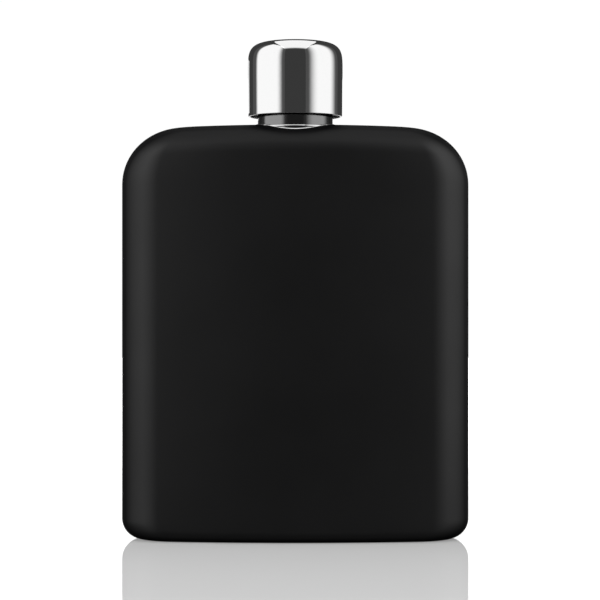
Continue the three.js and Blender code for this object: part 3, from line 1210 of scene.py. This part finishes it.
@dataclass(frozen=True)
class Softbox:
    """A flat light panel, unseen by the camera.

    Attributes:
        name: Name of the light.
        centre: Its middle, in metres.
        faces: Direction that it shines in.
        width: Its level side, in metres.
        height: Its other side, in metres.
        radiance: Brightness of its face.
        fades: For each dimmed end, the shares of the side where it is dim and where it is full.
        dim: Brightness past a dimmed end, as a share of the radiance.
        lights: What it falls on.
        faded_side: 0 when the fades run along its level side, 1 along the other.
        taper: Share of the level side that is lit at the far end of the other side.
    """

    name: str
    centre: tuple[float, float, float]
    faces: tuple[float, float, float]
    width: float
    height: float
    radiance: float
    fades: tuple[tuple[float, float], ...] = ()
    dim: float = 0.0
    lights: Lights = Lights.ALL
    faded_side: int = 0
    taper: float = 1.0

    def build(self) -> None:
        """Hangs the panel."""
        light = bpy.data.lights.new(self.name, "AREA")
        light.shape = "RECTANGLE"
        light.size = self.width
        light.size_y = self.height
        light.energy = self.radiance * math.pi * self.width * self.height
        if self.fades:
            self.shade_ends(light)
        lamp = bpy.data.objects.new(self.name, light)
        lamp.location = self.centre
        lamp.rotation_mode = "QUATERNION"
        lamp.rotation_quaternion = (-Vector(self.faces)).to_track_quat("Z", "Y")
        lamp.visible_camera = False
        bpy.context.scene.collection.objects.link(lamp)
        if self.lights is not Lights.ALL:
            self.flag(lamp)

    def flag(self, lamp: bpy.types.Object) -> None:
        """Keeps the light off the coated pieces, or on them alone."""
        coated = bpy.data.collections.new(self.name + "_flag")
        for piece in bpy.data.objects:
            slots = [slot.name for slot in piece.material_slots]
            if PowderCoat.name in slots:
                coated.objects.link(piece)
        state = "INCLUDE" if self.lights is Lights.COAT else "EXCLUDE"
        for entry in coated.collection_objects:
            entry.light_linking.link_state = state
        lamp.light_linking.receiver_collection = coated
        if self.lights is Lights.COAT:
            lamp.light_linking.blocker_collection = coated

    def shade_ends(self, light: bpy.types.Light) -> None:
        """Dims the panel towards its ends, as cloth does away from the lamp behind it."""
        light.use_nodes = True
        tree = light.node_tree
        tree.nodes.clear()
        across = add_node(tree, "ShaderNodeNewGeometry").outputs["Parametric"]
        share = add_node(tree, "ShaderNodeSeparateXYZ", {0: across}).outputs[self.faded_side]
        strength = 1.0
        for dim_at, full_at in self.fades:
            ramp = add_node(
                tree,
                "ShaderNodeMapRange",
                {"Value": share, "From Min": dim_at, "From Max": full_at, "To Min": self.dim},
                interpolation_type="SMOOTHSTEP",
            ).outputs[0]
            product = add_node(tree, "ShaderNodeMath", {0: strength, 1: ramp}, operation="MULTIPLY")
            strength = product.outputs[0]
        if self.taper < 1:
            lit = self.tapered(tree, across)
            product = add_node(tree, "ShaderNodeMath", {0: strength, 1: lit}, operation="MULTIPLY")
            strength = product.outputs[0]
        glow = add_node(tree, "ShaderNodeEmission", {"Strength": strength}).outputs[0]
        add_node(tree, "ShaderNodeOutputLight", {"Surface": glow})

    def tapered(self, tree: bpy.types.NodeTree, across: bpy.types.NodeSocket) -> bpy.types.NodeSocket:
        """One inside a band that narrows from the full level side to the taper, and zero outside it.

        Args:
            tree: The light's node tree.
            across: The shares along both sides.

        Returns:
            The socket that is one inside the band.
        """
        shares = add_node(tree, "ShaderNodeSeparateXYZ", {0: across}).outputs
        off = add_node(tree, "ShaderNodeMath", {0: shares[0], 1: 0.5}, operation="SUBTRACT").outputs[0]
        off = add_node(tree, "ShaderNodeMath", {0: off}, operation="ABSOLUTE").outputs[0]
        narrowing = {"Value": shares[1], "To Min": 0.5, "To Max": self.taper / 2}
        half = add_node(tree, "ShaderNodeMapRange", narrowing).outputs[0]
        ratio = add_node(tree, "ShaderNodeMath", {0: off, 1: half}, operation="DIVIDE").outputs[0]
        band = {"Value": ratio, "From Min": 0.97, "From Max": 1.0, "To Min": 1.0, "To Max": 0.0}
        return add_node(tree, "ShaderNodeMapRange", band).outputs[0]


@dataclass
class Studio:
    """A white table in a dim room, lit by softboxes, with the camera level. Sizes in metres."""

    lens: float = 123.3  # in millimetres
    distance: float = 0.564
    sideways: float = 0.0013
    eye_height: float = 0.0652
    room_grey: float = 0.052  # brightness of the room in reflections
    backdrop: float = 1.02  # brightness of the sweep behind everything
    # Painted light: the table's glow below is no lamp.
    table_light: float = 0.26  # glow of the table as far as table_near, growing to 1 at table_far
    table_near: float = 0.10
    table_far: float = 0.45
    table_white: float = 0.8  # the table's white to the eye, and the share that it throws back
    table_bounce: float = 0.13
    table_reach: float = 1.75
    table_drop: float = 0.05 * MM  # keeps it off the flask's own plane
    softboxes: tuple[Softbox, ...] = (
        Softbox(
            "softbox_left", (-1.0, -0.7, 0.93), (1, 0, 0), 2.8, 2.0, 1.25,
            fades=((0.107, 0.181), (0.87, 0.585)), dim=0.035, lights=Lights.ALL_BUT_COAT,
        ),
        Softbox(
            "softbox_right", (1.0, -0.7, 0.93), (-1, 0, 0), 2.8, 2.0, 1.25,
            fades=((0.16, 0.549), (0.93, 0.758)), dim=0.035, lights=Lights.ALL_BUT_COAT,
        ),
        Softbox(
            "softbox_overhead", (0.0, -0.185, 1.33), (0, 0, -1), 1.78, 2.87, 1.2,
            fades=((0.0, 0.20),), lights=Lights.ALL_BUT_COAT, faded_side=1, taper=0.35,
        ),
        Softbox(
            "coat_softbox_left", (-1.0, -0.3, 0.93), (1, 0, 0), 3.6, 2.0, 2.1,
            fades=((0.09, 0.60), (0.95, 0.64)), dim=0.03, lights=Lights.COAT,
        ),
        Softbox(
            "coat_softbox_right", (1.0, -0.3, 0.93), (-1, 0, 0), 3.6, 2.0, 2.0,
            fades=((0.13, 0.46), (0.95, 0.54)), dim=0.03, lights=Lights.COAT,
        ),
        Softbox(
            "coat_softbox_overhead", (0.0, 0.45, 1.33), (0, 0, -1), 1.10, 2.30, 0.56,
            lights=Lights.COAT,
        ),
        Softbox("backdrop_panel", (0.0, 1.8, 0.15), (0, -1, 0), 0.76, 0.34, 1.3),
        Softbox("edge_card", (-0.103, 0.282, 0.1555), (0.342, -0.94, 0), 0.12, 0.03, 0.8),
    )

    def table(self) -> None:
        """A broad table of polished white acrylic. To the eye it carries a painted glow, dimmer near the
        flask and growing to pure white further out; to everything else it is a far darker white.
        """
        material, tree = new_material("polished_white_acrylic")
        place = add_node(tree, "ShaderNodeTexCoord").outputs["Object"]
        haze = add_node(
            tree, "ShaderNodeTexNoise", {"Vector": place, "Scale": per_mm(40.0), "Detail": 2.0}
        ).outputs["Fac"]
        rough = add_node(
            tree, "ShaderNodeMapRange", {"Value": haze, "To Min": 0.02, "To Max": 0.04}
        ).outputs[0]
        away = add_node(tree, "ShaderNodeVectorMath", {0: place}, operation="LENGTH").outputs["Value"]
        spread = add_node(
            tree,
            "ShaderNodeMapRange",
            {
                "Value": away,
                "From Min": self.table_near,
                "From Max": self.table_far,
                "To Min": self.table_light,
                "To Max": 1.0,
            },
            interpolation_type="SMOOTHSTEP",
        ).outputs[0]
        # Painted light: a glow that no lamp gives, seen by the eye only, dimmer near the flask.
        seen = add_node(tree, "ShaderNodeLightPath").outputs["Is Camera Ray"]
        glow = add_node(tree, "ShaderNodeMath", {0: seen, 1: spread}, operation="MULTIPLY").outputs[0]
        white = add_node(
            tree,
            "ShaderNodeMapRange",
            {"Value": seen, "To Min": self.table_bounce, "To Max": self.table_white},
        ).outputs[0]
        colour = add_node(tree, "ShaderNodeCombineColor", {0: white, 1: white, 2: white}).outputs[0]
        shader = add_node(
            tree,
            "ShaderNodeBsdfPrincipled",
            {
                "Base Color": colour,
                "Roughness": rough,
                "Emission Color": (1.0, 1.0, 1.0, 1.0),
                "Emission Strength": glow,
            },
        ).outputs[0]
        add_node(tree, "ShaderNodeOutputMaterial", {"Surface": shader})
        reach = self.table_reach
        mesh = bpy.data.meshes.new("table_top")
        corners = [(-reach, -reach, 0), (reach, -reach, 0), (reach, reach, 0), (-reach, reach, 0)]
        mesh.from_pydata(corners, [], [(0, 1, 2, 3)])
        mesh.materials.append(material)
        table = bpy.data.objects.new("table_top", mesh)
        table.location.z = -self.table_drop
        bpy.context.scene.collection.objects.link(table)

    def room(self) -> None:
        """A white sweep behind everything to the eye, and a dim grey room to reflections."""
        world = bpy.data.worlds.new("studio_room")
        world.use_nodes = True
        tree = world.node_tree
        tree.nodes.clear()
        seen = add_node(tree, "ShaderNodeLightPath").outputs["Is Camera Ray"]
        dim = add_node(tree, "ShaderNodeBackground", {"Color": (1, 1, 1, 1), "Strength": self.room_grey})
        white = add_node(tree, "ShaderNodeBackground", {"Color": (1, 1, 1, 1), "Strength": self.backdrop})
        mix = add_node(tree, "ShaderNodeMixShader", {0: seen, 1: dim.outputs[0], 2: white.outputs[0]})
        add_node(tree, "ShaderNodeOutputWorld", {"Surface": mix.outputs[0]})
        bpy.context.scene.world = world

    def camera(self) -> None:
        """The camera, level, square to the front and a little to the right of the middle."""
        data = bpy.data.cameras.new("studio_camera")
        data.lens = self.lens
        data.sensor_width = 36.0
        data.clip_start = 0.01
        data.clip_end = 50.0
        camera = bpy.data.objects.new("studio_camera", data)
        camera.location = (self.sideways, -self.distance, self.eye_height)
        camera.rotation_euler = (math.radians(90), 0, 0)
        bpy.context.scene.collection.objects.link(camera)
        bpy.context.scene.camera = camera

    def build(self) -> None:
        """Sets up the room, the table, the lights and the camera."""
        self.room()
        self.table()
        for softbox in self.softboxes:
            softbox.build()
        self.camera()
        bpy.context.scene.view_settings.view_transform = "Standard"
        LOG.info("studio: %d softboxes", len(self.softboxes))


# ---- assembly ----


def main() -> None:
    """Builds the body, the neck, the cap and the studio from the frame's sizes."""
    shell_low, shell_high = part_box("front_shell")
    _, pan_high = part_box("base_pan")
    _, cup_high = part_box("neck_cup")
    cap_low, cap_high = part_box("cap_shell")
    form = BodyForm(
        half_width=(shell_high.x - shell_low.x) / 2,
        half_depth=-shell_low.y,
        height=shell_high.z - SETTLE,
    )
    cup_radius = cup_high.x + CUP_GROWTH
    flask = FlaskBody(form, seam_height=pan_high.z, neck_hole=cup_radius + COAT_GAP)
    flask.build()
    Neck(form, cup_radius=cup_radius).build()
    Cap(
        rim_height=(cap_low.z - SETTLE) / MM,
        top_height=cap_high.z / MM,
        radius=cap_high.x / MM,
        body_top=form.height / MM,
    ).build()
    Studio().build()


if __name__ == "__main__":
    logging.basicConfig(level=logging.INFO, format="%(message)s")
    main()
